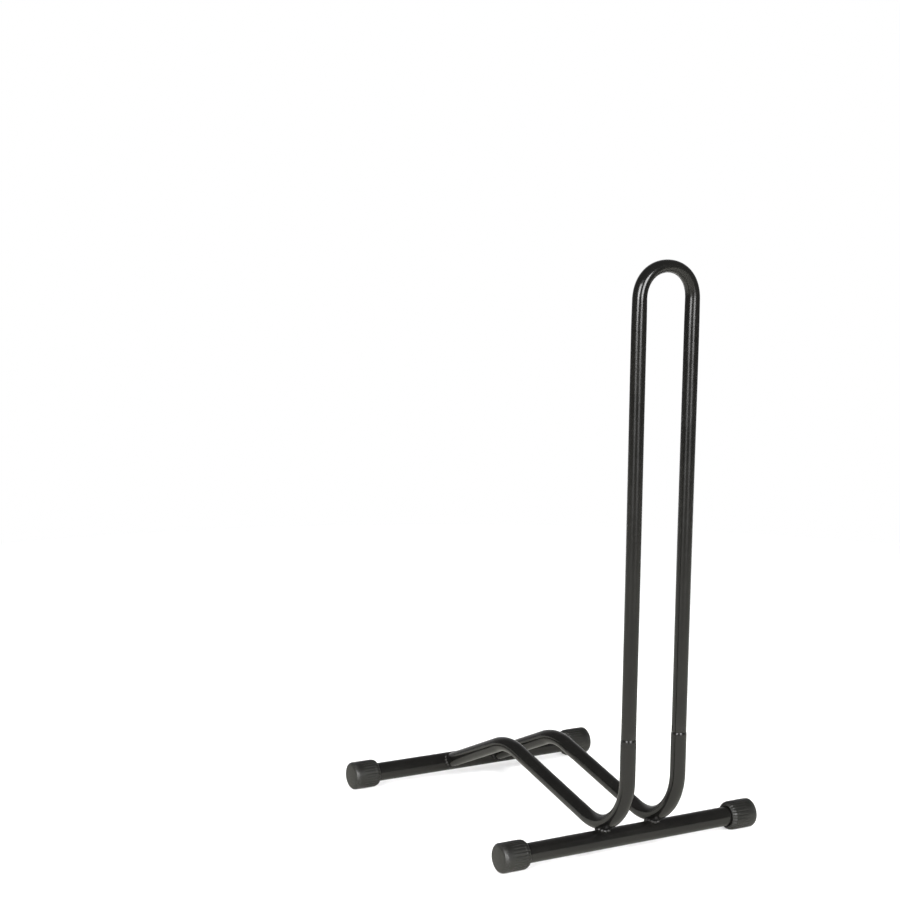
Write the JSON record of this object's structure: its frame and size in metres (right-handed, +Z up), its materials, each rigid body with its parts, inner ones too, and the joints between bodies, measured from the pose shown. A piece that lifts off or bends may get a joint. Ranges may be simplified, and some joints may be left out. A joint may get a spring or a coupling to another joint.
{
  "type": "bicycle floor stand",
  "caption": "Floor stand that holds one bicycle wheel upright: a tall narrow tube hoop on bent side rails and crossbars with rubber end caps.",
  "frame": {"origin": "on the floor under the middle of the stand's overall box", "axes": "+Z up, +X to the right-hand rail, -Y the front where the hoop stands; the wheel rolls in from +Y over the rear crossbar"},
  "size_m": [0.396, 0.468, 0.7599],
  "materials": {
    "coated_steel": "satin black powder coat",
    "cap_rubber": "matt dark grey moulded rubber",
    "weld_bead": "weld bead under the black powder coat"
  },
  "bodies": {
    "base": {"front_crossbar": "coated_steel", "rear_crossbar": "coated_steel", "left_rail": "coated_steel", "right_rail": "coated_steel", "front_left_cap": "cap_rubber", "front_right_cap": "cap_rubber", "rear_left_cap": "cap_rubber", "rear_right_cap": "cap_rubber", "front_left_weld": "weld_bead", "front_right_weld": "weld_bead", "rear_left_weld": "weld_bead", "rear_right_weld": "weld_bead"},
    "hoop": {"hoop": "coated_steel"}
  },
  "joints": [
    {"name": "hoop_lift", "type": "slide", "parent": "base", "child": "hoop", "axis": [0, 0, 1], "range_m": [0, 0.045]}
  ]
}
